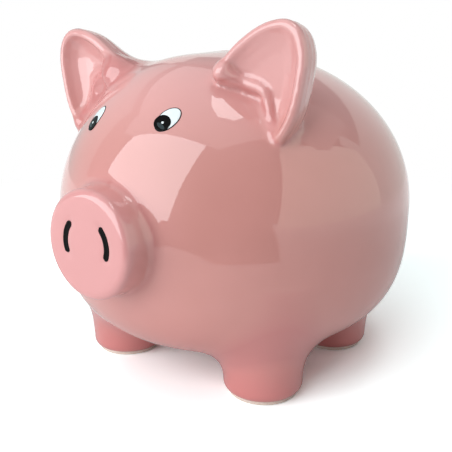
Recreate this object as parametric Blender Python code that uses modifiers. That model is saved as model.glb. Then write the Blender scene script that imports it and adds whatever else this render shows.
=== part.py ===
"""Ceramic piggy bank, modelled as the pieces that it is put together from.

A hollow egg-shaped body carries luted ears, legs, a snout and a tail. It has a coin slot in
its back, a rubber stopper in its belly, enamel eyes and nostrils, and a bare foot ring under
each leg. Units are metres, +Z is up, the snout points along -Y and the table is at z = 0.
"""

import math

import bmesh
import bpy
import numpy as np
from mathutils import Matrix, Vector

# The body is an egg with a smaller egg, the head, blended into its front.
TRUNK_Y, TRUNK_Z = -0.0005, 0.0637
TRUNK_HALF_WIDTH = 0.0700
TRUNK_FRONT, TRUNK_REAR = 0.0734, 0.0762
TRUNK_UPPER, TRUNK_LOWER = 0.0605, 0.0532
BELLY_POWER = 3.2  # 2 would be an ellipse; more is flatter underneath
HEAD_Y, HEAD_Z = -0.0355, 0.0774
HEAD_HALF_WIDTH = 0.0327
HEAD_LENGTH = 0.0330
HEAD_UPPER, HEAD_LOWER = 0.0397, 0.0395
HEAD_BLEND = 0.016
HEART = (0.0, -0.020, 0.072)  # inside both eggs; every ray from here leaves the body once
WALL = 0.005
GAP = 0.0003
BODY_MESH = (48, 32)  # segments round the Y axis, and rings along it
CAVITY_MESH = (36, 22)

SLOT_WIDTH, SLOT_LENGTH = 0.005, 0.036
SLOT_Y = 0.010
HOLE_RADIUS = 0.015
VENT_RADIUS = 0.002
LEG_VENT_HEIGHTS = (0.008, 0.032)
SNOUT_VENT_ENDS = (-0.090, -0.060)

SNOUT_Z = 0.0625
SNOUT_FACE_Y = -0.08415
SNOUT_RADIUS = 0.0183
SNOUT_RIM = 0.0030
SNOUT_LENGTH = 0.026
SNOUT_FLARE = (  # (radius, depth behind the face)
    (0.0186, 0.0060),
    (0.0191, 0.0090),
    (0.0201, 0.0115),
    (0.0219, 0.0135),
    (0.0232, 0.0150),
)
SNOUT_BACK_WALL = 0.004
NOSTRIL_ARC = ((0.0076, 0.0688), (0.0092, 0.0656), (0.0096, 0.0622), (0.0090, 0.0595))  # (x, z)
NOSTRIL_DEPTH = 0.00095
GROOVE_RADIUS, MOUTH_RADIUS = 0.00115, 0.00100
INLAY_RADIUS = 0.00085

FOOT_X = 0.03465
FOOT_FRONT_Y, FOOT_REAR_Y = -0.0316, 0.0240
FOOT_RADIUS = 0.0150
FOOT_EDGE = 0.0032
LEG_FLARE = (  # (radius, height)
    (0.0208, 0.036),
    (0.0190, 0.030),
    (0.0173, 0.024),
    (0.0161, 0.018),
    (0.0153, 0.012),
)
LEG_WALL = 0.005
LEG_HOLLOW_TAPER = 0.002
RING_OUTER, RING_INNER, RING_HEIGHT = 0.0128, 0.0086, 0.0012

EAR_Y = -0.042
EAR_CENTRE = (0.0440, 0.1145)  # (x, z) that the rim goes round
EAR_RIM = (
    (0.0192, 0.1155),
    (0.0282, 0.1246),
    (0.0377, 0.1303),
    (0.0470, 0.1320),
    (0.0541, 0.1268),
    (0.0553, 0.1140),
    (0.0525, 0.1035),
    (0.0465, 0.0945),
    (0.0412, 0.1015),
    (0.0370, 0.1062),
    (0.0275, 0.1110),
)
EAR_TUCK = 0.0065  # how far the rim's lower inner edge is set back onto the head
EAR_TUCK_PLACE, EAR_TUCK_SPREAD = (0.035, 0.108), 0.007
EAR_WALL = 0.0045
EAR_BACK, EAR_HOLLOW = 0.019, 0.0065  # depths behind the rim
EAR_BACK_ANGLES = (12, 26, 42, 58, 73, 86)  # degrees round the bowl, from its middle to its rim
EAR_HOLLOW_ANGLES = (84, 68, 50, 30, 14)
EAR_RIM_STEPS = 3  # between one rim point and the next

EYE_HALF_LENGTH, EYE_HALF_WIDTH = 0.0052, 0.0034
EYES = (("left", 0.0164, 0.1013, 0.60), ("right", -0.0157, 0.1008, -0.20))  # x, z, lean
ENAMEL = 0.0005
PUPIL_RADIUS = 0.0028
PUPIL_DROP, PUPIL_INWARD = 0.0016, 0.0008

TAIL_Z = 0.074
TAIL_LOOP = 0.0065
TAIL_START_Y, TAIL_END_Y = 0.0700, 0.08195
TAIL_ROOT_RADIUS, TAIL_TIP_RADIUS = 0.0036, 0.0022
TAIL_TURNS = 1.3

PLUG_RADIUS_LOW, PLUG_RADIUS_HIGH = 0.0147, 0.0143
PLUG_WALL = 0.0024
FLANGE_RADIUS, FLANGE_THICKNESS = 0.018, 0.002
PLUG_INSERTION = 0.0072
GRIP_RADIUS, GRIP_DEPTH = 0.0105, 0.0028
GRIP_BAR_WIDTH, GRIP_BAR_SET_BACK = 0.0045, 0.0008

PINK = (0.80, 0.46, 0.46, 1.0)
WHITE = (0.86, 0.92, 0.92, 1.0)
BLACK = (0.012, 0.013, 0.015, 1.0)
BISQUE = (0.82, 0.74, 0.68, 1.0)
RUBBER = (0.72, 0.70, 0.66, 1.0)


def egg(points, centre_y, centre_z, lengths, lower_power):
    """How far each point is outside an egg, along its ray from the egg's centre; negative inside."""
    half_width, front, rear, upper, lower = lengths
    x = points[:, 0]
    y = points[:, 1] - centre_y
    z = points[:, 2] - centre_z
    along = np.where(y < 0, front, rear)
    high = np.where(z < 0, lower, upper)
    power = np.where(z < 0, lower_power, 2.0)
    level = (np.hypot(x / half_width, y / along) ** power + np.abs(z / high) ** power) ** (1 / power)
    distance = np.sqrt(x * x + y * y + z * z)
    return distance * (1 - 1 / np.maximum(level, 1e-6))


def body_measure(points):
    """The trunk and the head with a soft join."""
    trunk_lengths = (TRUNK_HALF_WIDTH, TRUNK_FRONT, TRUNK_REAR, TRUNK_UPPER, TRUNK_LOWER)
    head_lengths = (HEAD_HALF_WIDTH, HEAD_LENGTH, HEAD_LENGTH, HEAD_UPPER, HEAD_LOWER)
    trunk = egg(points, TRUNK_Y, TRUNK_Z, trunk_lengths, BELLY_POWER)
    head = egg(points, HEAD_Y, HEAD_Z, head_lengths, 2.0)
    mix = np.clip(0.5 + 0.5 * (head - trunk) / HEAD_BLEND, 0, 1)
    return head * (1 - mix) + trunk * mix - HEAD_BLEND * mix * (1 - mix)


def body_normals(points):
    """Unit vectors out of the body at each point."""
    step = 1e-4
    slopes = [body_measure(points + step * axis) - body_measure(points - step * axis) for axis in np.eye(3)]
    normals = np.stack(slopes, axis=1)
    return normals / np.linalg.norm(normals, axis=1, keepdims=True)


def body_points(directions, offset, start=HEART):
    """Where rays from a point inside leave the body, moved out by offset."""
    start = np.array(start)
    inside = np.zeros(len(directions))
    outside = np.full(len(directions), 0.2)
    for _ in range(40):
        middle = (inside + outside) / 2
        beyond = body_measure(start + directions * middle[:, None]) > 0
        outside = np.where(beyond, middle, outside)
        inside = np.where(beyond, inside, middle)
    surface = start + directions * inside[:, None]
    return surface + offset * body_normals(surface)


def face_point(x, z):
    """The point on the front of the body at x and z, and the way out of the body there."""
    point = body_points(np.array([[0.0, -1.0, 0.0]]), 0.0, (x, HEART[1], z))
    return Vector(point[0]), Vector(body_normals(point)[0])


def material(name, colour, roughness):
    made = bpy.data.materials.new(name)
    made.use_nodes = True
    shader = made.node_tree.nodes["Principled BSDF"]
    shader.inputs["Base Color"].default_value = colour
    shader.inputs["Roughness"].default_value = roughness
    shader.inputs["Metallic"].default_value = 0.0
    return made


def collection(name):
    made = bpy.data.collections.new(name)
    bpy.context.scene.collection.children.link(made)
    return made


def add_object(name, mesh, home, surface=None):
    """Puts a mesh in the scene, as a sub-part if it has a material and as a hidden helper if not."""
    made = bpy.data.objects.new(name, mesh)
    home.objects.link(made)
    if surface:
        mesh.materials.append(surface)
    else:
        made.hide_render = True
        made.display_type = "WIRE"
    return made


def finish_mesh(name, shape):
    bmesh.ops.recalc_face_normals(shape, faces=shape.faces)
    mesh = bpy.data.meshes.new(name)
    shape.to_mesh(mesh)
    shape.free()
    mesh.shade_smooth()
    mesh.set_sharp_from_angle(angle=math.radians(40))
    return mesh


def body_mesh(name, offset, segments, rings):
    """A sphere with its poles on the Y axis, drawn out to the body's surface."""
    shape = bmesh.new()
    turn = Matrix.Rotation(math.radians(90), 4, "X")
    bmesh.ops.create_uvsphere(shape, u_segments=segments, v_segments=rings, radius=1.0, matrix=turn)
    directions = np.array([vertex.co.normalized() for vertex in shape.verts])
    for vertex, place in zip(shape.verts, body_points(directions, offset)):
        vertex.co = place
    return finish_mesh(name, shape)


def cylinder_mesh(name, radius, start, end, segments):
    """A closed cylinder between two points."""
    start = Vector(start)
    end = Vector(end)
    axis = end - start
    shape = bmesh.new()
    turn = axis.to_track_quat("Z", "Y").to_matrix().to_4x4()
    place = Matrix.Translation((start + end) / 2) @ turn
    bmesh.ops.create_cone(
        shape,
        cap_ends=True,
        segments=segments,
        radius1=radius,
        radius2=radius,
        depth=axis.length,
        matrix=place,
    )
    return finish_mesh(name, shape)


def boolean(target, tool, operation="DIFFERENCE"):
    made = target.modifiers.new(f"{operation.lower()} {tool.name}", "BOOLEAN")
    made.operation = operation
    made.object = tool


def turned(name, profile, segments, home, surface=None):
    """A closed turned piece. The profile's (radius, height) points run down its outer side."""
    shape = bmesh.new()
    points = [shape.verts.new((radius, 0.0, height)) for radius, height in profile]
    for first, second in zip(points, points[1:]):
        shape.edges.new((first, second))
    mesh = bpy.data.meshes.new(name)
    shape.to_mesh(mesh)
    shape.free()
    made = add_object(name, mesh, home, surface)
    screw = made.modifiers.new("turn", "SCREW")
    screw.steps = segments
    screw.render_steps = segments
    screw.use_merge_vertices = True
    screw.merge_threshold = 1e-5
    screw.use_smooth_shade = True
    return made


def arc(centre, radius, start, end, steps):
    """Points round part of a circle, with its angles in degrees."""
    angles = [math.radians(start + (end - start) * step / steps) for step in range(steps + 1)]
    return [(centre[0] + radius * math.cos(a), centre[1] + radius * math.sin(a)) for a in angles]


def smooth_curve(points, steps, closed=False):
    """A Catmull-Rom curve through points, with a number of steps in each span."""
    points = np.array(points, float)
    count = len(points)
    spans = count if closed else count - 1
    found = []
    for span in range(spans):
        picks = [span - 1, span, span + 1, span + 2]
        picks = [i % count if closed else min(max(i, 0), count - 1) for i in picks]
        a, b, c, d = points[picks]
        for step in range(steps):
            t = step / steps
            found.append(
                b + 0.5 * t * (c - a + t * (2 * a - 5 * b + 4 * c - d + t * (3 * (b - c) + d - a)))
            )
    if not closed:
        found.append(points[-1])
    return np.array(found)


def tube(name, points, radii, sides, home, surface=None):
    """A round rod along points, as a mesh that can be cut or can cut."""
    curve = bpy.data.curves.new(name, "CURVE")
    curve.dimensions = "3D"
    curve.bevel_depth = 1.0
    curve.bevel_resolution = sides // 2 - 2
    curve.use_fill_caps = True
    spline = curve.splines.new("POLY")
    spline.points.add(len(points) - 1)
    for point, place, radius in zip(spline.points, points, radii):
        point.co = (*place, 1.0)
        point.radius = radius
    guide = bpy.data.objects.new(f"{name} guide", curve)
    home.objects.link(guide)
    mesh = bpy.data.meshes.new_from_object(guide.evaluated_get(bpy.context.evaluated_depsgraph_get()))
    bpy.data.objects.remove(guide)
    shape = bmesh.new()
    shape.from_mesh(mesh)
    bmesh.ops.remove_doubles(shape, verts=shape.verts, dist=1e-6)
    mesh.clear_geometry()
    return add_object(name, finish_mesh(name, shape), home, surface)


def add_body_shell(pig, helpers, glaze):
    """The hollow body: a 5 mm wall with the coin slot, the stopper hole and the kiln vents."""
    shell = add_object("body_shell", body_mesh("body_shell", 0.0, *BODY_MESH), pig, glaze)
    cavity = add_object("cavity", body_mesh("cavity", -WALL, *CAVITY_MESH), helpers)
    boolean(shell, cavity)

    slot = bmesh.new()
    size = Matrix.Diagonal((SLOT_WIDTH, SLOT_LENGTH, 0.04, 1.0))
    place = Matrix.Translation((0.0, SLOT_Y, TRUNK_Z + TRUNK_UPPER))
    bmesh.ops.create_cube(slot, size=1.0, matrix=place @ size)
    upright = [edge for edge in slot.edges if abs(edge.verts[0].co.z - edge.verts[1].co.z) > 0.01]
    bmesh.ops.bevel(slot, geom=upright, offset=0.45 * SLOT_WIDTH, segments=4, profile=0.5, affect="EDGES")
    boolean(shell, add_object("slot", finish_mesh("slot", slot), helpers))

    hole = cylinder_mesh("stopper hole", HOLE_RADIUS, (0, 0, 0), (0, 0, 0.03), 48)
    boolean(shell, add_object("stopper hole", hole, helpers))
    for name, x, y in feet():
        vent = cylinder_mesh(f"{name} vent", VENT_RADIUS, *((x, y, z) for z in LEG_VENT_HEIGHTS), 12)
        boolean(shell, add_object(f"{name} vent", vent, helpers))
    vent = cylinder_mesh("snout vent", VENT_RADIUS, *((0, y, SNOUT_Z) for y in SNOUT_VENT_ENDS), 12)
    boolean(shell, add_object("snout vent", vent, helpers))


def feet():
    """(name, x, y) of the four legs."""
    for end, y in (("front", FOOT_FRONT_Y), ("rear", FOOT_REAR_Y)):
        for side, x in (("left", FOOT_X), ("right", -FOOT_X)):
            yield f"{end}_{side}", x, y


def add_legs(pig, around_body, glaze, bisque):
    """Short hollow legs, open at the top against the belly, on bare ground foot rings."""
    base = RING_HEIGHT + GAP
    inner = FOOT_RADIUS - LEG_WALL
    leg_top = LEG_FLARE[0][1]
    profile = [(0.0, base + LEG_WALL), (inner, base + LEG_WALL), (inner + LEG_HOLLOW_TAPER, leg_top)]
    profile += LEG_FLARE
    profile += arc((FOOT_RADIUS - FOOT_EDGE, base + FOOT_EDGE), FOOT_EDGE, 0, -90, 4)
    profile += [(0.0, base)]
    for name, x, y in feet():
        leg = turned(f"{name}_leg", profile, 32, pig, glaze)
        leg.location = (x, y, 0.0)
        boolean(leg, around_body)
        ring = turned(f"{name}_foot_ring", ring_profile(), 32, pig, bisque)
        ring.location = (x, y, 0.0)


def ring_profile():
    """A flat ring on the table."""
    corners = [(RING_INNER, RING_HEIGHT), (RING_OUTER, RING_HEIGHT), (RING_OUTER, 0.0), (RING_INNER, 0.0)]
    return corners + corners[:1]


def nostril_path(side, depth, overrun):
    """An arc down the snout, a depth behind its face, lengthened at both ends."""
    path = [Vector((side * x, SNOUT_FACE_Y + depth, z)) for x, z in smooth_curve(NOSTRIL_ARC, 3)]
    path[0] += (path[0] - path[1]).normalized() * overrun
    path[-1] += (path[-1] - path[-2]).normalized() * overrun
    return path


def add_snout(pig, helpers, around_body, glaze, enamel):
    """The turned snout, open at the back, with two grooves that hold the painted nostrils."""
    face = SNOUT_LENGTH
    inner = SNOUT_RADIUS - WALL
    profile = [(0.0, face)]
    profile += arc((SNOUT_RADIUS - SNOUT_RIM, face - SNOUT_RIM), SNOUT_RIM, 90, 0, 6)
    profile += [(radius, face - depth) for radius, depth in SNOUT_FLARE]
    profile += [(SNOUT_FLARE[-1][0], 0.0), (SNOUT_FLARE[-1][0] - SNOUT_BACK_WALL, 0.0)]
    profile += [(inner, face - WALL), (0.0, face - WALL)]
    snout = turned("snout", profile, 40, pig, glaze)
    snout.rotation_euler = (math.radians(90), 0.0, 0.0)
    snout.location = (0.0, SNOUT_FACE_Y + SNOUT_LENGTH, SNOUT_Z)
    for name, side in (("left", 1), ("right", -1)):
        path = nostril_path(side, NOSTRIL_DEPTH, 0.0)
        tube(f"{name}_nostril", path, [INLAY_RADIUS] * len(path), 12, pig, enamel)
        cuts = (
            ("groove", GROOVE_RADIUS, NOSTRIL_DEPTH, GAP),
            ("mouth", MOUTH_RADIUS, -MOUTH_RADIUS / 4, 0.0),
        )
        for part, radius, depth, overrun in cuts:
            path = nostril_path(side, depth, overrun)
            boolean(snout, tube(f"{name} {part}", path, [radius] * len(path), 12, helpers))
    boolean(snout, around_body)


def ear_rings():
    """(share of the way out from the middle to the rim, inset, y) from the ear's back to its hollow."""
    bead = EAR_WALL / 2
    rings = []
    for angle in map(math.radians, EAR_BACK_ANGLES):
        rings.append((math.sin(angle), 0.0, EAR_BACK * math.cos(angle)))
    for x, y in arc((0.0, 0.0), bead, 0, -180, 5):
        rings.append((1.0, bead - x, y))
    for angle in map(math.radians, EAR_HOLLOW_ANGLES):
        rings.append((math.sin(angle), EAR_WALL, EAR_HOLLOW * math.cos(angle)))
    return rings


def ear_plane(x, z):
    """Where the ear's rim lies along Y: flat in front, but tucked back where it meets the head."""
    off = (x - EAR_TUCK_PLACE[0]) ** 2 + (z - EAR_TUCK_PLACE[1]) ** 2
    return EAR_Y + EAR_TUCK * math.exp(-off / (2 * EAR_TUCK_SPREAD**2))


def add_ear(name, side, pig, around_body, glaze):
    """A bowl-shaped ear lofted through rings that follow its pointed rim, trimmed to the head."""
    outline = smooth_curve(EAR_RIM, EAR_RIM_STEPS, closed=True)
    centre = np.array(EAR_CENTRE)
    spokes = outline - centre
    lengths = np.linalg.norm(spokes, axis=1, keepdims=True)
    shape = bmesh.new()
    loops = []
    for share, inset, depth in ear_rings():
        ring = centre + spokes * (1 - inset / lengths) * share
        loops.append([shape.verts.new((side * x, ear_plane(x, z) + depth, z)) for x, z in ring])
    for first, second in zip(loops, loops[1:]):
        for i, corner in enumerate(first):
            follow = (i + 1) % len(first)
            shape.faces.new((corner, first[follow], second[follow], second[i]))
    for loop in (loops[0], loops[-1]):
        shape.faces.new(loop)
    bmesh.ops.triangulate(shape, faces=shape.faces)
    ear = add_object(name, finish_mesh(name, shape), pig, glaze)
    boolean(ear, around_body)


def add_tail(pig, around_body, glaze):
    """A tapered roll of clay in one loose curl, luted to the rump."""
    steps = 36
    places = []
    radii = []
    for step in range(steps + 1):
        share = step / steps
        angle = math.radians(100) + share * TAIL_TURNS * math.tau
        y = TAIL_START_Y + (TAIL_END_Y - TAIL_START_Y) * share
        places.append((TAIL_LOOP * math.cos(angle), y, TAIL_Z + TAIL_LOOP * math.sin(angle)))
        radii.append(TAIL_ROOT_RADIUS + (TAIL_TIP_RADIUS - TAIL_ROOT_RADIUS) * share)
    tail = tube("tail", places, radii, 10, pig, glaze)
    boolean(tail, around_body)


def eye_frame(x, z, lean):
    """An eye's place on the body: its Z axis points out and its Y axis runs up the eye."""
    centre, out = face_point(x, z)
    side = 1 if x > 0 else -1
    up = (Vector((0, 0, 1)) - out * out.z).normalized()
    sideways = Vector((side, 0, 0))
    sideways = (sideways - out * out.x * side - up * sideways.dot(up)).normalized()
    along = (up * math.cos(lean) + sideways * math.sin(lean)).normalized()
    across = along.cross(out)
    return Matrix((across, along, out)).transposed().to_4x4(), centre, -side


def add_eyes(pig, helpers, enamel_white, enamel_black):
    """Each eye is a thin oval of white enamel with a round black pupil let into it."""
    under = add_object("under enamel", body_mesh("under enamel", GAP, *BODY_MESH), helpers)
    over = add_object("over enamel", body_mesh("over enamel", GAP + ENAMEL, *BODY_MESH), helpers)
    for name, x, z, lean in EYES:
        turn, centre, inward = eye_frame(x, z, lean)
        oval = Matrix.Translation(centre) @ turn @ Matrix.Diagonal((EYE_HALF_WIDTH, EYE_HALF_LENGTH, 1, 1))
        down_the_eye = turn.to_3x3() @ Vector((0.0, -PUPIL_DROP, 0.0))
        pupil_place = centre + down_the_eye + Vector((inward * PUPIL_INWARD, 0.0, 0.0))
        disc = Matrix.Translation(pupil_place) @ turn
        pieces = (
            (f"{name}_eye_white", oval, 1.0, enamel_white),
            (f"{name}_pupil", disc, PUPIL_RADIUS, enamel_black),
        )
        for piece_name, place, radius, surface in pieces:
            piece = add_object(piece_name, plug_mesh(piece_name, place, radius), pig, surface)
            if surface is enamel_white:
                recess = plug_mesh(f"{name} recess", disc, PUPIL_RADIUS + GAP)
                boolean(piece, add_object(f"{name} recess", recess, helpers))
            boolean(piece, over, "INTERSECT")
            boolean(piece, under)


def plug_mesh(name, place, radius):
    """A short cylinder through the body's wall, about a place's Z axis."""
    shape = bmesh.new()
    bmesh.ops.create_cone(
        shape, cap_ends=True, segments=32, radius1=radius, radius2=radius, depth=0.012, matrix=place
    )
    return finish_mesh(name, shape)


def add_stopper(pig, helpers, rubber):
    """The rubber bung: a cup pushed up into the belly, a flange under it and a bar to pull it by."""
    belly = TRUNK_Z - TRUNK_LOWER
    under_belly = belly - GAP
    bottom = under_belly - FLANGE_THICKNESS
    top = belly + PLUG_INSERTION
    grip_roof = bottom + GRIP_DEPTH
    floor = grip_roof + PLUG_WALL
    cup_radius = PLUG_RADIUS_HIGH - PLUG_WALL
    profile = [(0.0, floor), (cup_radius, floor), (cup_radius, top), (PLUG_RADIUS_HIGH, top)]
    profile += [(PLUG_RADIUS_LOW, under_belly), (FLANGE_RADIUS, under_belly), (FLANGE_RADIUS, bottom)]
    profile += [(GRIP_RADIUS, bottom), (GRIP_RADIUS, grip_roof), (0.0, grip_roof)]
    stopper = turned("stopper", profile, 40, pig, rubber)
    bar = bmesh.new()
    size = Matrix.Diagonal((2 * GRIP_RADIUS + 0.002, GRIP_BAR_WIDTH, GRIP_DEPTH, 1.0))
    place = Matrix.Translation((0.0, 0.0, bottom + GRIP_BAR_SET_BACK + GRIP_DEPTH / 2))
    bmesh.ops.create_cube(bar, size=1.0, matrix=place @ size)
    boolean(stopper, add_object("grip bar", finish_mesh("grip bar", bar), helpers), "UNION")


def main():
    for old in list(bpy.data.objects):
        bpy.data.objects.remove(old)
    pig = collection("piggy_bank")
    helpers = collection("cutters")
    glaze = material("pink glaze", PINK, 0.12)
    enamel_white = material("white enamel", WHITE, 0.15)
    enamel_black = material("black enamel", BLACK, 0.12)
    bisque = material("bare clay", BISQUE, 0.85)
    rubber = material("rubber", RUBBER, 0.6)

    around_body = add_object("around body", body_mesh("around body", GAP, *BODY_MESH), helpers)
    add_body_shell(pig, helpers, glaze)
    add_snout(pig, helpers, around_body, glaze, enamel_black)
    add_legs(pig, around_body, glaze, bisque)
    for name, side in (("left_ear", 1), ("right_ear", -1)):
        add_ear(name, side, pig, around_body, glaze)
    add_tail(pig, around_body, glaze)
    add_eyes(pig, helpers, enamel_white, enamel_black)
    add_stopper(pig, helpers, rubber)


main()
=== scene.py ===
"""Looks for the ceramic piggy bank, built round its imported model.

The real bank is one fired body under one coat of glaze, so one skin stands for the separate clay
pieces. Its shape is a signed measure, negative inside the clay, that joins rounded forms softly.
Units are metres, +Z is up, the snout points along -Y and the table is at z = 0.
"""

import math

import bmesh
import bpy
import numpy as np
import openvdb
from mathutils import Matrix, Vector


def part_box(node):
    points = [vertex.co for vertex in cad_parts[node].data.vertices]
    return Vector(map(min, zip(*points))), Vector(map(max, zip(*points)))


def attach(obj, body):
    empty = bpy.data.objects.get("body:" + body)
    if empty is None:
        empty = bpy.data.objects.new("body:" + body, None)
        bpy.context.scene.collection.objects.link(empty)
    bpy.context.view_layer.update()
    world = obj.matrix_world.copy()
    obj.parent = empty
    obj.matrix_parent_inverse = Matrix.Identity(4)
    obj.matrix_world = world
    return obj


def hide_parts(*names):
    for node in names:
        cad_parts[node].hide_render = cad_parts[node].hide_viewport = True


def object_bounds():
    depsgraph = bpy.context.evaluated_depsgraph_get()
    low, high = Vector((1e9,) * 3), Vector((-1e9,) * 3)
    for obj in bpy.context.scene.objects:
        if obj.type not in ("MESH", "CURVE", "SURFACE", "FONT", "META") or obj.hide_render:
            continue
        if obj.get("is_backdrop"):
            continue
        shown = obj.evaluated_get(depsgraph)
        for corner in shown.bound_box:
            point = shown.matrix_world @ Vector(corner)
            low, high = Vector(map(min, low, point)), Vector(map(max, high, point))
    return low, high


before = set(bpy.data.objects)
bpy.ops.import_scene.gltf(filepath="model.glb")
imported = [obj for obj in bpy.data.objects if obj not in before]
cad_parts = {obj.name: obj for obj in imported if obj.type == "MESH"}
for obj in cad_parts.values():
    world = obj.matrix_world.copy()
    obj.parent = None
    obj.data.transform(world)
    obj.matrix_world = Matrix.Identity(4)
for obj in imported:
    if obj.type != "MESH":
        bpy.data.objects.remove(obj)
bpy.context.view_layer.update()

BANK = "bank"

# The grid that the skin is made on.
VOXEL = 0.00104
GRID_MARGIN, SLOPE_STEP = 3 * VOXEL, VOXEL / 10
FAR = 1.0  # the measure of a form well away from it

# The body is an egg with a smaller egg, the head, blended into its front. An egg's lengths from its
# centre are its half width, front, rear, upper and lower.
TRUNK_Y, TRUNK_Z = -0.0005, 0.0637
TRUNK_LENGTHS = (0.0700, 0.0734, 0.0762, 0.0605, 0.0532)
TRUNK_LOWER_POWER = 3.2
HEAD_Y, HEAD_Z = -0.0355, 0.0774
HEAD_LENGTHS = (0.0327, 0.0330, 0.0330, 0.0397, 0.0395)
HEAD_LOWER_POWER = 2.0
HEAD_BLEND = 0.016
HEART = (0.0, -0.020, 0.072)  # a point inside, from which all of the body's surface is in sight
HEART_REACH = 0.2
WALL = 0.005

SLOT_HALF_WIDTH, SLOT_HALF_LENGTH, SLOT_Y, SLOT_BOTTOM = 0.0024, 0.018, 0.010, 0.102
HOLE_RADIUS, HOLE_TOP = 0.0149, 0.022
LIP_BLEND = 0.0016

SNOUT_RADIUS, SNOUT_RIM, SNOUT_TAPER, SNOUT_BLEND = 0.0184, 0.0022, 0.03, 0.0034
SNOUT_BACK_Y = -0.05
NOSTRIL_ARC = ((0.0067, 0.0695), (0.0087, 0.0665), (0.0095, 0.0635), (0.0094, 0.0610), (0.0086, 0.0588))
NOSTRIL_HALF_WIDTH, NOSTRIL_THICKNESS, NOSTRIL_LIFT = 0.00115, 0.0009, 0.00025
GROOVE_RADIUS, GROOVE_DEPTH, GROOVE_LIP = 0.0022, -0.00175, 0.0008

FOOT_RADIUS, FOOT_EDGE = 0.0150, 0.0034
LEG_TAPER, LEG_TAPER_START = 0.075, 0.006
LEG_BLEND, LEG_TOP = 0.010, 0.040
RING_HOLE_SHARE, RING_BURIED, RING_WORN = 0.67, 0.0006, 0.0003

EAR_Y = -0.0440
EAR_RIM = (
    (0.0212, 0.1174),
    (0.0248, 0.1212),
    (0.0302, 0.1258),
    (0.0370, 0.1299),
    (0.0432, 0.1319),
    (0.0490, 0.1317),
    (0.0536, 0.1280),
    (0.0556, 0.1212),
    (0.0550, 0.1140),
    (0.0530, 0.1045),
    (0.0500, 0.0980),
    (0.0470, 0.0946),
    (0.0437, 0.0977),
    (0.0408, 0.1016),
    (0.0372, 0.1060),
    (0.0320, 0.1092),
    (0.0272, 0.1122),
    (0.0228, 0.1150),
)
DISH_RIM = EAR_RIM[:12] + (  # the hollow runs out past the ear's lower edge, onto the head
    (0.0440, 0.0930),
    (0.0385, 0.0945),
    (0.0325, 0.0975),
    (0.0260, 0.1005),
    (0.0190, 0.1040),
    (0.0155, 0.1110),
)
# Sections give (inward from the rim, behind it).
EAR_SECTION = (  # from the crest, round the ribbed back, to the middle
    (0.0016, -0.0003),
    (0.0005, 0.0004),
    (0.0000, 0.0018),
    (0.0004, 0.0032),
    (0.0002, 0.0046),
    (0.0007, 0.0060),
    (0.0007, 0.0076),
    (0.0014, 0.0092),
    (0.0018, 0.0106),
    (0.0038, 0.0124),
    (0.0080, 0.0148),
    (0.0200, 0.0165),
    (0.0200, -0.0003),
)
EAR_DISH = (  # the hollow, from its edge to the middle and out in front
    (0.0026, -0.0020),
    (0.0030, 0.0005),
    (0.0042, 0.0026),
    (0.0062, 0.0046),
    (0.0095, 0.0060),
    (0.0200, 0.0066),
    (0.0200, -0.0100),
    (0.0022, -0.0100),
)
# Above a height the hollow gets shallower by its lean, down to a share of its depth.
DISH_DEEP_Z, DISH_SHALLOWEST = 0.108, 0.4
NEAR_DISH_LEAN, FAR_DISH_LEAN = 32.0, 6.0
DISH_EDGE = 0.0010
NEAR_EAR_BLEND = 0.0030
FAR_EAR_BLENDS, FAR_EAR_BLEND_HEIGHTS = (0.0030, 0.0135), (0.098, 0.114)
ROLL_PATH = (  # down the ear's lower edge, on the pig's left
    (0.0249, -0.0438, 0.1161),
    (0.0272, -0.0417, 0.1143),
    (0.0299, -0.0401, 0.1131),
    (0.0330, -0.0394, 0.1121),
    (0.0360, -0.0392, 0.1113),
    (0.0383, -0.0391, 0.1096),
    (0.0395, -0.0391, 0.1065),
    (0.0413, -0.0399, 0.1018),
    (0.0436, -0.0411, 0.0980),
    (0.0456, -0.0420, 0.0954),
)
ROLL_RADII = (0.0033, 0.0026, 0.0020, 0.0018, 0.0016, 0.0014, 0.0011, 0.0009, 0.0008, 0.0008)
NEAR_ROLL_BLEND, FAR_ROLL_BLEND = 0.0024, 0.0060

TAIL_Z, TAIL_LOOP, TAIL_TURNS = 0.074, 0.0065, 1.3
TAIL_START_Y, TAIL_START_ANGLE = 0.070, 100
TAIL_ROOT_RADIUS, TAIL_TIP_RADIUS = 0.0036, 0.0022
TAIL_BLEND = 0.003

# Eyes: side, x and z on the face, and the oval's lean from upright towards the ear.
EYES = (("left", 0.0161, 0.1017, 0.72), ("right", -0.0155, 0.1007, -0.30))
EYE_LAYERS = (  # part, middle, half width, half length, lift, enamel, the CAD node it stands for
    ("eye_outline", (0, 0), 0.0033, 0.0052, 0.00010, "black", None),
    ("eye_white", (0, 0), 0.0030, 0.0049, 0.00018, "white", "eye_white"),
    ("pupil", (-0.0003, -0.0021), 0.0029, 0.0029, 0.00026, "black", "pupil"),
    ("pupil_sheen", (0.0002, -0.0032), 0.0017, 0.0007, 0.00031, "grey", None),
    ("pupil_light", (-0.0002, -0.0020), 0.00043, 0.00043, 0.00036, "white", None),
)
ENAMEL_BURIED = -0.0004
ENAMELS = {  # colour, gloss
    "white": ((0.80, 0.90, 0.92), 1.0),
    "black": ((0.0015, 0.0016, 0.002), 0.12),
    "grey": ((0.035, 0.050, 0.055), 0.12),
}

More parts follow.
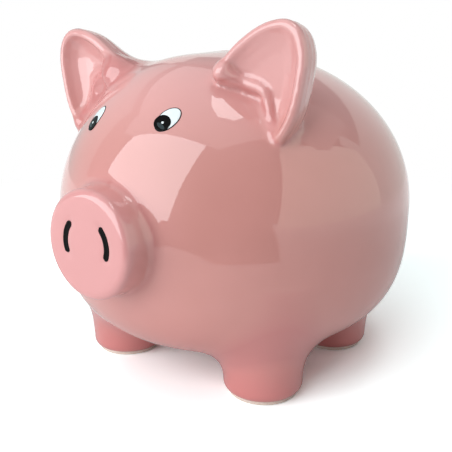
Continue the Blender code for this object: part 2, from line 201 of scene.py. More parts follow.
# The glaze's two ground colours, and where the colour turns to others along Y or Z: paler at the snout's
# front and over the head's top and ears, which is painted light, and redder down the legs, partly thicker
# glaze and partly painted bounce light.
GLAZE_COLOURS = ((0.570, 0.243, 0.213, 1), (0.610, 0.269, 0.240, 1))
GLAZE_AND_LIGHT_TURNS = (
    # Paler at the snout's front: painted light from the front.
    ("Y", -0.066, -0.086, (0.690, 0.305, 0.300, 1)),
    # Redder down the legs: partly glaze pooled thicker, partly painted pink bounce light.
    ("Z", 0.042, -0.010, (0.600, 0.185, 0.178, 1)),
    # Paler over the top of the head and the ears: painted light.
    ("Z", 0.086, 0.116, (0.690, 0.345, 0.330, 1)),
)
# Deeper and darker in the fillets: partly glaze pooled thicker, partly painted shade and bounce light in
# the creases.
POOL_AND_SHADE_COLOUR = (0.560, 0.205, 0.195, 1)
POOL_AND_SHADE_DEPTH = 0.001  # the pooled glaze and painted crease shade are full where a fillet is this deep

CAMERA_AZIMUTH, CAMERA_PITCH = 35.98, 14.42
CAMERA_AIM, CAMERA_DISTANCE = (0.0, -0.00747, 0.05306), 0.26259
CAMERA_LENS = 49.91

TABLE_SIZE = 12.0
ROOM_LIGHT = 0.25
PAPER_LIT = (0.86, 0.86, 0.86, 1)  # as it lights the bank and is mirrored in it
PAPER_SEEN = (1.50, 1.66, 1.66, 1)  # as the camera sees it, so bright that its lit part is pure white
PAPER_END, PAPER_FADE = (0.230, 0.242), (0.16, 0.45)  # distances from the middle
PAPER_END_DIRECTION, PAPER_END_COSINES = (0.47, -0.88, 0.0), (0.82, 0.84)  # the wedge where it ends
WHITE, BLACK = (1, 1, 1, 1), (0, 0, 0, 1)
PANELS = (  # name, corners, strength, colour, whether it lights as well as being mirrored
    (
        "front_panel",
        ((-0.587, -0.90, 0.92), (0.671, -0.90, 1.39), (0.11, -0.90, 0.0), (-1.15, -0.90, 0.0)),
        3.5,
        (0.97, 1.0, 1.02),
        True,
    ),
    (
        "side_panel",
        ((0.90, -0.165, 1.22), (0.90, 0.93, 0.74), (0.90, 1.05, 0.0), (0.90, -0.45, 0.0)),
        1.3,
        (1.0, 1.0, 0.90),
        False,
    ),
    (
        "back_panel",
        ((-1.2, 1.0, 0.0), (-1.2, 1.0, 1.2), (1.2, 1.0, 1.2), (1.2, 1.0, 0.0)),
        0.9,
        (0.96, 1.0, 0.97),
        False,
    ),
    (
        "ceiling_panel",
        (
            (-0.587, -0.90, 0.92),
            (0.671, -0.90, 1.39),
            (0.80, -0.79, 1.36),
            (-0.90, -0.79, 1.36),
            (-0.90, -0.85, 0.95),
        ),
        0.85,
        (1.0, 1.0, 1.03),
        False,
    ),
    (
        "top_panel",
        (
            (0.05, 0.12, 1.0),
            (0.08, 0.23, 1.0),
            (0.20, 0.23, 1.0),
            (0.30, 0.15, 1.0),
            (0.36, 0.05, 1.0),
            (0.37, -0.10, 1.0),
            (0.30, -0.17, 1.0),
            (0.18, -0.08, 1.0),
        ),
        4.0,
        (1.0, 1.0, 1.0),
        True,
    ),
)
WASH_AIM_Z = 0.06
WASHES = (  # name, azimuth, elevation, distance, width, height, strength, colour
    ("overhead_wash", 0, 89, 1.3, 1.6, 1.6, 0.92, (1.05, 0.98, 0.98)),
    ("left_wash", -95, 25, 1.0, 1.0, 1.0, 0.60, (0.90, 1.05, 1.05)),
    ("back_wash", 180, 35, 1.2, 1.6, 0.8, 0.36, (1.0, 1.0, 1.0)),
    ("far_side_wash", 130, 55, 1.2, 0.7, 0.7, 0.55, (1.04, 0.99, 0.97)),
)


# ---- shape measures -------------------------------------------------------------------------


def egg(points, centre_y, centre_z, lengths, lower_power):
    """How far each point is outside an egg, along its ray from the egg's centre; negative inside."""
    half_width, front, rear, upper, lower = lengths
    x = points[:, 0]
    y = points[:, 1] - centre_y
    z = points[:, 2] - centre_z
    along = np.where(y < 0, front, rear)
    high = np.where(z < 0, lower, upper)
    power = np.where(z < 0, lower_power, 2.0)
    level = (np.hypot(x / half_width, y / along) ** power + np.abs(z / high) ** power) ** (1 / power)
    distance = np.sqrt(x * x + y * y + z * z)
    return distance * (1 - 1 / np.maximum(level, 1e-6))


def join(first, second, blend):
    """A union with a fillet."""
    mix = np.clip(0.5 + 0.5 * (second - first) / blend, 0, 1)
    return second * (1 - mix) + first * mix - blend * mix * (1 - mix)


def carve(first, second, blend):
    """The first form without the second, with a rounded lip."""
    return -join(-first, second, blend)


def body_measure(points):
    trunk = egg(points, TRUNK_Y, TRUNK_Z, TRUNK_LENGTHS, TRUNK_LOWER_POWER)
    head = egg(points, HEAD_Y, HEAD_Z, HEAD_LENGTHS, HEAD_LOWER_POWER)
    return join(trunk, head, HEAD_BLEND)


def rod_measure(points, path, radii):
    """Distance to a rod of changing radius along a path, in two or three dimensions."""
    path = np.array(path)
    best = np.full(len(points), np.inf)
    for start, end, thick, thin in zip(path[:-1], path[1:], radii[:-1], radii[1:]):
        along = end - start
        share = np.clip((points - start) @ along / (along @ along), 0, 1)
        gap = np.linalg.norm(points - start - share[:, None] * along, axis=1)
        best = np.minimum(best, gap - thick - (thin - thick) * share)
    return best


def outline_measure(points, outline):
    """Distance to a closed flat outline, negative inside it."""
    closed = np.vstack([outline, outline[:1]])
    distance = rod_measure(points, closed, np.zeros(len(closed)))
    inside = np.zeros(len(points), bool)
    for (x0, z0), (x1, z1) in zip(closed[:-1], closed[1:]):
        crosses = (points[:, 1] > z0) != (points[:, 1] > z1)
        where = x0 + (points[:, 1] - z0) * (x1 - x0) / (z1 - z0 if z1 != z0 else 1.0)
        inside ^= crosses & (points[:, 0] < where)
    return np.where(inside, -distance, distance)


def rounded_slab(across, along, edge):
    """Distance to the corner of a slab that fills negative across and along, rounded at the edge."""
    a = across + edge
    b = along + edge
    return np.hypot(np.maximum(a, 0), np.maximum(b, 0)) + np.minimum(np.maximum(a, b), 0) - edge


def smooth_curve(points, steps, closed=False):
    """A Catmull-Rom curve through points, with a number of steps in each span."""
    points = np.array(points, float)
    count = len(points)
    found = []
    for span in range(count if closed else count - 1):
        picks = [span - 1, span, span + 1, span + 2]
        picks = [i % count if closed else min(max(i, 0), count - 1) for i in picks]
        a, b, c, d = points[picks]
        for step in range(steps):
            t = step / steps
            bend = 2 * a - 5 * b + 4 * c - d + t * (3 * (b - c) + d - a)
            found.append(b + 0.5 * t * (c - a + t * bend))
    if not closed:
        found.append(points[-1])
    return np.array(found)


def leg_measure(points):
    """A leg on either side of the middle, at the place of its foot ring."""
    best = np.full(len(points), FAR)
    for end in ("front", "rear"):
        low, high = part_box(f"{end}_left_foot_ring")
        x, y, base = (low[0] + high[0]) / 2, (low[1] + high[1]) / 2, high[2]
        radius = FOOT_RADIUS + LEG_TAPER * np.maximum(points[:, 2] - LEG_TAPER_START, 0)
        across = np.hypot(points[:, 0] - x, points[:, 1] - y) - radius
        leg = rounded_slab(across, base - points[:, 2], FOOT_EDGE)
        best = np.minimum(best, np.maximum(leg, points[:, 2] - LEG_TOP))
    return best


def snout_measure(points):
    low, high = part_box("snout")
    behind = points[:, 1] - low[1]
    centre_z = (low[2] + high[2]) / 2
    across = np.hypot(points[:, 0], points[:, 2] - centre_z) - SNOUT_RADIUS - SNOUT_TAPER * behind
    return np.maximum(rounded_slab(across, -behind, SNOUT_RIM), points[:, 1] - SNOUT_BACK_Y)


def ear_measure(points, lean):
    """A slab with a crisp rim round a shallow dish, which gets shallower towards the ear's tip."""
    flat = points[:, [0, 2]]
    behind = points[:, 1] - EAR_Y
    inward = -outline_measure(flat, smooth_curve(EAR_RIM, 4, closed=True))
    slab = outline_measure(np.stack([inward, behind], axis=1), np.array(EAR_SECTION))
    inward = -outline_measure(flat, smooth_curve(DISH_RIM, 4, closed=True))
    shallow = np.clip(1 - lean * (points[:, 2] - DISH_DEEP_Z), DISH_SHALLOWEST, 1.0)
    dish = outline_measure(np.stack([inward, behind / shallow], axis=1), np.array(EAR_DISH))
    return carve(slab, dish, DISH_EDGE)


def near_ear_measure(points):
    return ear_measure(points, NEAR_DISH_LEAN)


def far_ear_measure(points):
    return ear_measure(points, FAR_DISH_LEAN)


def far_ear_blend(points):
    return np.interp(points[:, 2], FAR_EAR_BLEND_HEIGHTS, FAR_EAR_BLENDS)


def roll_measure(points):
    """The roll of clay that lutes the ear's lower edge to the head."""
    path = smooth_curve(ROLL_PATH, 4)
    radii = np.interp(np.linspace(0, 1, len(path)), np.linspace(0, 1, len(ROLL_RADII)), ROLL_RADII)
    return rod_measure(points, path, radii)


def tail_path():
    """The places and radii along the tail's curl."""
    end_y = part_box("tail")[1][1] - TAIL_TIP_RADIUS
    share = np.linspace(0, 1, 45)
    angle = math.radians(TAIL_START_ANGLE) + share * TAIL_TURNS * math.tau
    y = TAIL_START_Y + (end_y - TAIL_START_Y) * share
    path = np.stack([TAIL_LOOP * np.cos(angle), y, TAIL_Z + TAIL_LOOP * np.sin(angle)], axis=1)
    return path, TAIL_ROOT_RADIUS + (TAIL_TIP_RADIUS - TAIL_ROOT_RADIUS) * share


def tail_measure(points):
    return rod_measure(points, *tail_path())


def slot_measure(points):
    """The coin slot, from above the back down into the cavity."""
    reach = SLOT_HALF_LENGTH - SLOT_HALF_WIDTH
    path = ((0.0, SLOT_Y - reach), (0.0, SLOT_Y + reach))
    across = rod_measure(points[:, :2], path, (SLOT_HALF_WIDTH, SLOT_HALF_WIDTH))
    return np.maximum(across, SLOT_BOTTOM - points[:, 2])


def hole_measure(points):
    """The stopper's hole, from under the belly up into the cavity."""
    across = np.hypot(points[:, 0], points[:, 1]) - HOLE_RADIUS
    return np.maximum(across, points[:, 2] - HOLE_TOP)


def snout_face():
    """The snout's foremost y."""
    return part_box("snout")[0][1]


def nostril_path(side, depth):
    y = snout_face() + depth
    return [(side * x, y, z) for x, z in smooth_curve(NOSTRIL_ARC, 5)]


def groove_measure(points):
    path = nostril_path(1, GROOVE_DEPTH)
    return rod_measure(points, path, np.full(len(path), GROOVE_RADIUS))


def near(points, low, high, measure):
    """A form's measure inside a box round it, and a large one elsewhere, to save work."""
    found = np.full(len(points), FAR)
    close = np.all((points > low) & (points < high), axis=1)
    if close.any():
        found[close] = measure(points[close])
    return found


# Form, the low and high corners of a box round it, fillet, and side: 1 as it is, -1 mirrored, 0 both.
JOINED = (
    (leg_measure, (0.0, -0.07, -0.01), (0.08, 0.06, 0.06), LEG_BLEND, 0),
    (snout_measure, (-0.04, -0.10, 0.02), (0.04, -0.045, 0.10), SNOUT_BLEND, 0),
    (near_ear_measure, (0.005, -0.055, 0.08), (0.07, -0.012, 0.145), NEAR_EAR_BLEND, 1),
    (far_ear_measure, (0.005, -0.055, 0.08), (0.07, -0.012, 0.145), far_ear_blend, -1),
    (roll_measure, (0.005, -0.055, 0.09), (0.05, -0.025, 0.13), NEAR_ROLL_BLEND, 1),
    (roll_measure, (0.005, -0.055, 0.09), (0.05, -0.025, 0.13), FAR_ROLL_BLEND, -1),
    (tail_measure, (-0.02, 0.06, 0.05), (0.02, 0.10, 0.10), TAIL_BLEND, 1),
)
CARVED = (
    (slot_measure, (-0.02, -0.03, 0.095), (0.02, 0.05, 0.15), LIP_BLEND, 1),
    (hole_measure, (-0.03, -0.03, -0.01), (0.03, 0.03, 0.03), LIP_BLEND, 1),
    (groove_measure, (0.0, -0.10, 0.04), (0.02, -0.07, 0.09), GROOVE_LIP, 0),
)


def skin_measure(points):
    """The glazed clay, and how much of a fillet each point is in."""
    turned = {side: points * (side, 1, 1) for side in (1, -1)}
    turned[0] = np.stack([np.abs(points[:, 0]), points[:, 1], points[:, 2]], axis=1)
    measure = body_measure(points)
    fillet = np.zeros(len(points))
    for form, low, high, blend, side in JOINED:
        other = near(turned[side], low, high, form)
        joined = join(measure, other, blend(turned[side]) if callable(blend) else blend)
        fillet = np.maximum(fillet, (np.minimum(measure, other) - joined) / POOL_AND_SHADE_DEPTH)
        measure = joined
    for form, low, high, blend, side in CARVED:
        measure = carve(measure, near(turned[side], low, high, form), blend)
    return measure, fillet


def slopes(points, measure):
    """The measure's gradient at each point."""
    steps = np.eye(3) * SLOPE_STEP
    rises = [measure(points + step) - measure(points - step) for step in steps]
    return np.stack(rises, axis=1) / (2 * SLOPE_STEP)


def normals_at(points, measure):
    """The measure's gradient at each point, one unit long."""
    found = slopes(points, measure)
    return found / np.linalg.norm(found, axis=1, keepdims=True)


def settle(points, measure, rounds=3):
    """Moves points onto the measure's zero surface."""
    for _ in range(rounds):
        gradient = slopes(points, measure)
        steepness = np.maximum((gradient**2).sum(axis=1), 0.1)
        points = points - gradient * np.clip(measure(points) / steepness, -VOXEL, VOXEL)[:, None]
    return points


# ---- meshes ---------------------------------------------------------------------------------


def add_piece(name, mesh, surface, body):
    """A visible piece with its material, riding on a body."""
    piece = bpy.data.objects.new(name, mesh)
    bpy.context.scene.collection.objects.link(piece)
    mesh.materials.clear()
    mesh.materials.append(surface)
    mesh.shade_smooth()
    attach(piece, body)
    return piece


def finished_mesh(name, shape):
    """A mesh from a bmesh, with its faces turned outward."""
    bmesh.ops.recalc_face_normals(shape, faces=shape.faces)
    mesh = bpy.data.meshes.new(name)
    shape.to_mesh(mesh)
    shape.free()
    return mesh


def bridge(shape, loops):
    """Faces between each loop of vertices and the next."""
    for first, second in zip(loops, loops[1:]):
        for i in range(len(first)):
            follow = (i + 1) % len(first)
            shape.faces.new((first[i], first[follow], second[follow], second[i]))


def contour_mesh(name, measure, low, high):
    """The zero surface of a measure, sampled on a grid and then moved onto the surface exactly."""
    axes = [np.arange(low[i] - GRID_MARGIN, high[i] + GRID_MARGIN, VOXEL) for i in range(3)]
    counts = [len(axis) for axis in axes]
    values = np.empty(counts, np.float32)
    for i, x in enumerate(axes[0]):
        y, z = np.meshgrid(axes[1], axes[2], indexing="ij")
        layer = np.stack([np.full(y.size, x), y.ravel(), z.ravel()], axis=1)
        values[i] = measure(layer).reshape(counts[1:])
    grid = openvdb.FloatGrid(1.0)
    grid.copyFromArray(np.clip(values, -0.02, 0.02))
    corners, quads = grid.convertToQuads(0.0)
    origin = np.array([axis[0] for axis in axes])
    corners = settle(origin + corners.astype(float) * VOXEL, measure)
    first, second, _, fourth = (corners[quads[:, i]] for i in range(4))
    facing = np.cross(second - first, fourth - first)
    outward = slopes(first, measure)
    if (facing * outward).sum() < 0:
        quads = quads[:, ::-1]
    mesh = bpy.data.meshes.new(name)
    mesh.from_pydata(corners.tolist(), [], quads.tolist())
    mesh.validate()
    return mesh


def body_ball(name, offset, segments, rings):
    """A sphere with its poles on the Y axis, drawn out to the body's surface and moved by offset."""
    shape = bmesh.new()
    turn = Matrix.Rotation(math.radians(90), 4, "X")
    bmesh.ops.create_uvsphere(shape, u_segments=segments, v_segments=rings, radius=1.0, matrix=turn)
    directions = np.array([vertex.co.normalized() for vertex in shape.verts])
    inside = np.zeros(len(directions))
    outside = np.full(len(directions), HEART_REACH)
    for _ in range(40):
        middle = (inside + outside) / 2
        beyond = body_measure(np.array(HEART) + directions * middle[:, None]) > 0
        outside = np.where(beyond, middle, outside)
        inside = np.where(beyond, inside, middle)
    surface = np.array(HEART) + directions * inside[:, None]
    for vertex, place in zip(shape.verts, surface + offset * normals_at(surface, body_measure)):
        vertex.co = place
    return finished_mesh(name, shape)


def skin_mesh():
    """The outer skin with the money cavity cut out of it, and its fillets marked for the glaze's pooled
    colour and painted crease shade.
    """
    low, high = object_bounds()
    outer = contour_mesh("glazed_skin", lambda points: skin_measure(points)[0], low, high)
    block = bpy.data.objects.new("skin block", outer)
    cavity = bpy.data.objects.new("cavity", body_ball("cavity", -WALL, 64, 44))
    for helper in (block, cavity):
        bpy.context.scene.collection.objects.link(helper)
    cut = block.modifiers.new("cavity", "BOOLEAN")
    cut.operation = "DIFFERENCE"
    cut.object = cavity
    mesh = bpy.data.meshes.new_from_object(block.evaluated_get(bpy.context.evaluated_depsgraph_get()))
    for helper in (block, cavity):
        bpy.data.objects.remove(helper)
    places = np.empty(len(mesh.vertices) * 3)
    mesh.vertices.foreach_get("co", places)
    _, fillet = skin_measure(places.reshape(-1, 3))
    mesh.attributes.new("fillet", "FLOAT", "POINT").data.foreach_set("value", fillet.astype(np.float32))
    return mesh


def turned_mesh(name, profile, centre, segments=96):
    """A ring turned about a vertical axis, from a closed loop of (radius, height) points."""
    shape = bmesh.new()
    x, y = centre
    angles = [math.tau * i / segments for i in range(segments)]
    loops = []
    for radius, height in profile:
        ring = [(x + radius * math.cos(a), y + radius * math.sin(a), height) for a in angles]
        loops.append([shape.verts.new(place) for place in ring])
    bridge(shape, loops + loops[:1])
    return finished_mesh(name, shape)


def nostril_mesh(name, side):
    """A painted band of black that lines one nostril groove, with round ends."""
    path = np.array(nostril_path(side, 0.0))
    run = np.concatenate([[0.0], np.linalg.norm(np.diff(path, axis=0), axis=1).cumsum()])
    stations = np.linspace(0, run[-1], 28)
    middle = np.stack([np.interp(stations, run, path[:, i]) for i in range(3)], axis=1)
    ahead = np.gradient(middle, axis=0)
    ahead /= np.linalg.norm(ahead, axis=1, keepdims=True)
    across = np.stack([-ahead[:, 2], np.zeros(len(ahead)), ahead[:, 0]], axis=1)
    from_end = np.minimum(stations, run[-1] - stations)
    round_ends = np.sqrt(np.clip(1 - (1 - from_end / NOSTRIL_HALF_WIDTH).clip(0, 1) ** 2, 0.05, 1))
    strip = np.linspace(-1, 1, 9)
    widths = strip[:, None] * NOSTRIL_HALF_WIDTH * round_ends[:, None, None]
    rows = middle[:, None] + across[:, None] * widths
    rows = drop_on_face(rows.reshape(-1, 3)).reshape(rows.shape)
    rows[:, :, 1] -= NOSTRIL_LIFT * np.sqrt(1 - 0.8 * strip**2)
    shape = bmesh.new()
    loops = []
    for front in rows:
        back = front[::-1] + np.array((0, NOSTRIL_THICKNESS, 0))
        loops.append([shape.verts.new(corner) for corner in np.vstack([front, back])])
    bridge(shape, loops)
    for loop in (loops[0], loops[-1]):
        shape.faces.new(loop)
    return finished_mesh(name, shape)


def drop_on_face(points):
    """Moves points along Y onto the snout's face or into its grooves, in short safe steps."""
    points = points.copy()
    points[:, 1] = snout_face() - 0.002
    for _ in range(25):
        points[:, 1] += 0.8 * skin_measure(points)[0]
    return points


class EyeFrame:
    """An eye's place on the face, with its own across and along directions."""

    def __init__(self, x, z, lean):
        place = np.array([[x, -0.2, z]])  # well in front of the face
        for _ in range(60):
            place[0, 1] += body_measure(place)[0]
        self.centre = Vector(place[0])
        out = Vector(slopes(place, body_measure)[0]).normalized()
        up = (Vector((0, 0, 1)) - out * out.z).normalized()
        outward = up.cross(out)
        if outward.x * x < 0:
            outward = -outward
        self.along = up * math.cos(lean) + outward * math.sin(lean)
        self.across = outward * math.cos(lean) - up * math.sin(lean)

    def on_skin(self, pairs, lift):
        """Points at (across, along) from the eye's middle, laid on the skin and lifted off it."""
        flat = np.array([self.centre + self.across * a + self.along * b for a, b in pairs])
        places = settle(flat, body_measure, 4)
        return places + normals_at(places, body_measure) * lift


def patch_mesh(name, eye, outline, thickness, rings=10):
    """A thin pad of enamel on the skin, inside an outline of (across, along) points."""
    outline = np.array(outline)
    middle = outline.mean(axis=0)
    shares = [1.0, 1.0, 0.985, 0.96] + list(np.linspace(0.9, 0.1, rings))
    lifts = [ENAMEL_BURIED, 0.4 * thickness, 0.8 * thickness, thickness] + [thickness] * rings
    shape = bmesh.new()
    loops = []
    for share, lift in zip(shares, lifts):
        places = eye.on_skin(middle + (outline - middle) * share, lift)
        loops.append([shape.verts.new(place) for place in places])
    centre = shape.verts.new(eye.on_skin([middle], thickness)[0])
    bridge(shape, loops)
    innermost = loops[-1]
    for corner, follow in zip(innermost, innermost[1:] + innermost[:1]):
        shape.faces.new((corner, follow, centre))
    shape.faces.new(loops[0])
    return finished_mesh(name, shape)


def oval(centre, half_across, half_along, steps):
    """An oval outline of (across, along) points."""
    angles = [math.tau * step / steps for step in range(steps)]
    return [(centre[0] + half_across * math.cos(a), centre[1] + half_along * math.sin(a)) for a in angles]


# ---- materials ------------------------------------------------------------------------------


class Nodes:
    """A material's node tree with short calls to add and link nodes."""

    def __init__(self, name):
        self.material = bpy.data.materials.new(name)
        self.material.use_nodes = True
        self.tree = self.material.node_tree
        self.shader = self.tree.nodes["Principled BSDF"]

    def add(self, kind, **settings):
        node = self.tree.nodes.new(kind)
        for key, value in settings.items():
            setattr(node, key, value)
        return node

    def link(self, source, target):
        self.tree.links.new(source, target)

    def place(self):
        return self.add("ShaderNodeTexCoord").outputs["Object"]

    def noise(self, scale, detail=2.0):
        node = self.add("ShaderNodeTexNoise")
        node.inputs["Scale"].default_value = scale
        node.inputs["Detail"].default_value = detail
        self.link(self.place(), node.inputs["Vector"])
        return node.outputs["Fac"]

    def ramp(self, source, low, high):
        """Goes evenly from 0 to 1 as a value passes from low to high."""
        node = self.add("ShaderNodeValToRGB")
        node.color_ramp.elements[0].position = low
        node.color_ramp.elements[1].position = high
        self.link(source, node.inputs["Fac"])
        return node.outputs["Color"]

    def vector(self, operation, source, other=None):
        node = self.add("ShaderNodeVectorMath", operation=operation)
        self.link(source, node.inputs[0])
        if other:
            node.inputs[1].default_value = other
        return node

    def fade(self, source, start, end):
        """Goes smoothly from 0 to 1 as a value passes from start to end."""
        node = self.add("ShaderNodeMapRange", interpolation_type="SMOOTHSTEP")
        node.inputs["From Min"].default_value = start
        node.inputs["From Max"].default_value = end
        self.link(source, node.inputs["Value"])
        return node.outputs["Result"]

    def mix(self, factor, first, second):
        """A colour between two; each may be a colour or a socket."""
        node = self.add("ShaderNodeMix", data_type="RGBA")
        for index, value in ((0, factor), (6, first), (7, second)):
            self.give(node.inputs[index], value)
        return node.outputs[2]

    def bump(self, height, strength, distance):
        node = self.add("ShaderNodeBump")
        node.inputs["Strength"].default_value = strength
        node.inputs["Distance"].default_value = distance
        self.link(height, node.inputs["Height"])
        return node.outputs["Normal"]

    def give(self, socket, value):
        """Links a socket's value, or sets a plain one."""
        if isinstance(value, bpy.types.NodeSocket):
            self.link(value, socket)
        else:
            socket.default_value = value

    def set(self, **values):
        """Sets the shader's inputs by name, with _ for a space."""
        for key, value in values.items():
            self.give(self.shader.inputs[key.replace("_", " ")], value)


def glaze_material():
    """Pink under a clear glossy glaze: deeper in the fillets and down the legs, partly pooled glaze and
    partly painted shade and bounce light; paler at the snout's front and on the head's top and ears, which
    is painted light.
    """
    nodes = Nodes("pink glaze")
    colour = nodes.mix(nodes.ramp(nodes.noise(22.0, 3.0), 0.35, 0.65), *GLAZE_COLOURS)
    place = nodes.add("ShaderNodeSeparateXYZ")
    nodes.link(nodes.place(), place.inputs[0])
    # The paler snout front and head top are painted light; the redder legs are partly glaze, partly painted
    # bounce light.
    for axis, start, end, other in GLAZE_AND_LIGHT_TURNS:
        colour = nodes.mix(nodes.fade(place.outputs[axis], start, end), colour, other)
    fillet = nodes.add("ShaderNodeAttribute", attribute_name="fillet").outputs["Fac"]
    # Fillets turn deeper and darker: partly pooled glaze, partly painted shade and bounce light.
    pooled_and_shaded = nodes.mix(nodes.ramp(fillet, 0.1, 1.0), colour, POOL_AND_SHADE_COLOUR)
    nodes.set(
        Base_Color=pooled_and_shaded,
        Roughness=0.5,
        Specular_IOR_Level=0.3,
        Coat_Weight=1.0,
        Coat_Roughness=0.02,
        Coat_IOR=1.68,
    )
    wave = nodes.bump(nodes.noise(55.0, 1.0), 0.12, 0.0006)
    nodes.link(wave, nodes.shader.inputs["Coat Normal"])
    return nodes.material


def enamel_material(name, colour, gloss):
    """Fired enamel paint, very slightly uneven."""
    nodes = Nodes(name)
    darker = [share * 0.94 for share in colour]
    tint = nodes.mix(nodes.ramp(nodes.noise(300.0), 0.3, 0.7), (*colour, 1), (*darker, 1))
    nodes.set(
        Base_Color=tint,
        Roughness=0.25,
        Specular_IOR_Level=0.3 * gloss,
        Coat_Weight=gloss,
        Coat_Roughness=0.04,
    )
    return nodes.material


def bisque_material():
    """Bare fired clay, ground flat and slightly dusty."""
    nodes = Nodes("bare clay")
    grain = nodes.noise(1800.0, 4.0)
    colour = nodes.mix(nodes.ramp(grain, 0.35, 0.7), (0.80, 0.70, 0.62, 1), (0.72, 0.60, 0.52, 1))
    nodes.set(Base_Color=colour, Roughness=0.9, Normal=nodes.bump(grain, 0.4, 0.0002))
    return nodes.material


def rubber_material():
    """Pale matt rubber."""
    nodes = Nodes("rubber")
    grain = nodes.noise(900.0, 3.0)
    colour = nodes.mix(nodes.ramp(grain, 0.4, 0.7), (0.62, 0.60, 0.56, 1), (0.54, 0.52, 0.48, 1))
    nodes.set(Base_Color=colour, Roughness=0.6, Normal=nodes.bump(grain, 0.25, 0.0002))
    return nodes.material


# ---- pieces ---------------------------------------------------------------------------------


def add_skin(glaze):
    skin = add_piece("glazed_skin", skin_mesh(), glaze, BANK)
    legs = [f"{end}_{side}_leg" for end in ("front", "rear") for side in ("left", "right")]
    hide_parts("body_shell", "snout", "left_ear", "right_ear", "tail", *legs)


def add_eyes(enamels):
    """Each eye is a black outline, a white oval, a pupil at its low inner end, and two lights in it."""
    for side, x, z, lean in EYES:
        eye = EyeFrame(x, z, lean)
        for part, middle, half_width, half_length, lift, enamel, node in EYE_LAYERS:
            name = f"{side}_{part}_enamel"
            steps = 20 if part == "pupil_light" else 48
            mesh = patch_mesh(name, eye, oval(middle, half_width, half_length, steps), lift)
            piece = add_piece(name, mesh, enamels[enamel], BANK)
            if node:
                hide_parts(f"{side}_{node}")


def add_nostrils(black):
    for side, sign in (("left", 1), ("right", -1)):
        name = f"{side}_nostril_enamel"
        piece = add_piece(name, nostril_mesh(name, sign), black, BANK)
        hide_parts(f"{side}_nostril")


def add_foot_rings(bisque):
    """The bare rings that each leg stands on, with worn edges."""
    for end in ("front", "rear"):
        for side in ("left", "right"):
            node = f"{end}_{side}_foot_ring"
            low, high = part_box(node)
            centre = ((low[0] + high[0]) / 2, (low[1] + high[1]) / 2)
            outer = (high[0] - low[0]) / 2
            inner = outer * RING_HOLE_SHARE
            top, base = high[2] + RING_BURIED, low[2]
            profile = (
                (inner, top),
                (outer, top),
                (outer, base + RING_WORN),
                (outer - RING_WORN, base),
                (inner + RING_WORN, base),
                (inner, base + RING_WORN),
            )
            mesh = turned_mesh(f"{node}_clay", profile, centre)
            ring = add_piece(f"{node}_clay", mesh, bisque, BANK)
            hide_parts(node)


def add_stopper(rubber):
    """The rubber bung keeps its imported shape."""
    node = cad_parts["stopper"]
    node.data.materials.clear()
    node.data.materials.append(rubber)


# ---- stage ----------------------------------------------------------------------------------


def add_panel(name, corners, strength, colour, lights=True):
    """A flat bright panel that is mirrored and may light as well, but hides nothing from the camera."""
    mesh = bpy.data.meshes.new(name)
    mesh.from_pydata(corners, [], [tuple(range(len(corners)))])
    panel = bpy.data.objects.new(name, mesh)
    bpy.context.scene.collection.objects.link(panel)
    material = bpy.data.materials.new(name)
    material.use_nodes = True
    tree = material.node_tree
    tree.nodes.clear()
    glow = tree.nodes.new("ShaderNodeEmission")
    glow.inputs["Color"].default_value = (*colour, 1)
    glow.inputs["Strength"].default_value = strength
    out = tree.nodes.new("ShaderNodeOutputMaterial")
    tree.links.new(glow.outputs[0], out.inputs[0])
    mesh.materials.append(material)
    panel.visible_camera = False
    panel.visible_diffuse = lights
    panel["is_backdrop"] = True


def table_material():
    """White paper; the camera sees it turn to even white further out, so that no horizon shows.

    As the bank mirrors it, the paper ends a little way out in front, and the dim room follows.
    """
    nodes = Nodes("white table")
    tree = nodes.tree
    seen = nodes.add("ShaderNodeLightPath").outputs["Is Camera Ray"]
    paper = nodes.mix(seen, PAPER_LIT, PAPER_SEEN)
    nodes.set(Base_Color=paper, Roughness=0.9, Specular_IOR_Level=0.0)
    distance = nodes.vector("LENGTH", nodes.place()).outputs["Value"]
    toward = nodes.vector("NORMALIZE", nodes.place()).outputs["Vector"]
    ahead = nodes.vector("DOT_PRODUCT", toward, PAPER_END_DIRECTION).outputs["Value"]
    ended = nodes.mix(nodes.fade(ahead, *PAPER_END_COSINES), BLACK, nodes.fade(distance, *PAPER_END))
    ended = nodes.mix(seen, ended, BLACK)
    white = nodes.mix(nodes.fade(distance, *PAPER_FADE), ended, WHITE)
    glow = nodes.add("ShaderNodeEmission")
    room = (ROOM_LIGHT, ROOM_LIGHT, ROOM_LIGHT, 1)
    nodes.link(nodes.mix(ended, WHITE, room), glow.inputs["Color"])
    blend = nodes.add("ShaderNodeMixShader")
    nodes.link(white, blend.inputs[0])
    nodes.link(nodes.shader.outputs[0], blend.inputs[1])
    nodes.link(glow.outputs[0], blend.inputs[2])
    nodes.link(blend.outputs[0], tree.nodes["Material Output"].inputs["Surface"])
    return nodes.material


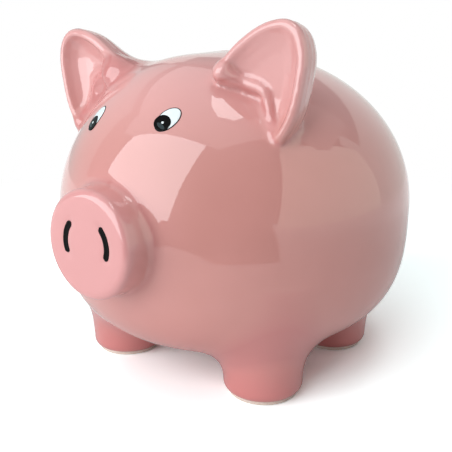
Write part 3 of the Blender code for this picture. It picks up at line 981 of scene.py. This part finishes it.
def facing_corners(azimuth, elevation, distance, width, height):
    """The corners of a level rectangle that faces the bank from a direction."""
    turn = math.radians(azimuth)
    rise = math.radians(elevation)
    out = Vector((math.sin(turn) * math.cos(rise), -math.cos(turn) * math.cos(rise), math.sin(rise)))
    right = Vector((math.cos(turn), math.sin(turn), 0)) * width / 2
    up = out.cross(right.normalized()) * height / 2
    middle = Vector((0, 0, WASH_AIM_Z)) + out * distance
    return [middle + right + up, middle - right + up, middle - right - up, middle + right - up]


def add_table():
    bpy.ops.mesh.primitive_plane_add(size=TABLE_SIZE, location=(0, 0, 0))
    floor = bpy.context.object
    floor.name = "floor"
    floor.data.materials.append(table_material())
    floor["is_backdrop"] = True


def add_room():
    """A dim even room that the camera sees as white, with bright panels round the bank."""
    world = bpy.data.worlds.new("studio")
    bpy.context.scene.world = world
    world.use_nodes = True
    tree = world.node_tree
    background = tree.nodes["Background"]
    path = tree.nodes.new("ShaderNodeLightPath")
    level = tree.nodes.new("ShaderNodeMix")
    level.inputs[2].default_value = ROOM_LIGHT
    level.inputs[3].default_value = 1.0
    tree.links.new(path.outputs["Is Camera Ray"], level.inputs[0])
    tree.links.new(level.outputs[0], background.inputs["Strength"])
    background.inputs["Color"].default_value = WHITE
    bpy.context.scene.view_settings.view_transform = "Standard"
    for panel in PANELS:
        add_panel(*panel)
    for name, azimuth, elevation, distance, width, height, strength, colour in WASHES:
        add_panel(name, facing_corners(azimuth, elevation, distance, width, height), strength, colour)


def add_camera():
    data = bpy.data.cameras.new("camera")
    data.lens = CAMERA_LENS
    data.sensor_width = 36.0
    camera = bpy.data.objects.new("camera", data)
    bpy.context.scene.collection.objects.link(camera)
    turn = math.radians(CAMERA_AZIMUTH)
    pitch = math.radians(CAMERA_PITCH)
    back = Vector((math.sin(turn) * math.cos(pitch), -math.cos(turn) * math.cos(pitch), math.sin(pitch)))
    camera.location = Vector(CAMERA_AIM) + back * CAMERA_DISTANCE
    camera.rotation_euler = (math.pi / 2 - pitch, 0, turn)
    data.clip_start = 0.01
    bpy.context.scene.camera = camera


def main():
    add_camera()
    add_table()
    add_room()
    enamels = {name: enamel_material(f"{name} enamel", *facts) for name, facts in ENAMELS.items()}
    add_skin(glaze_material())
    add_eyes(enamels)
    add_nostrils(enamels["black"])
    add_foot_rings(bisque_material())
    add_stopper(rubber_material())


main()
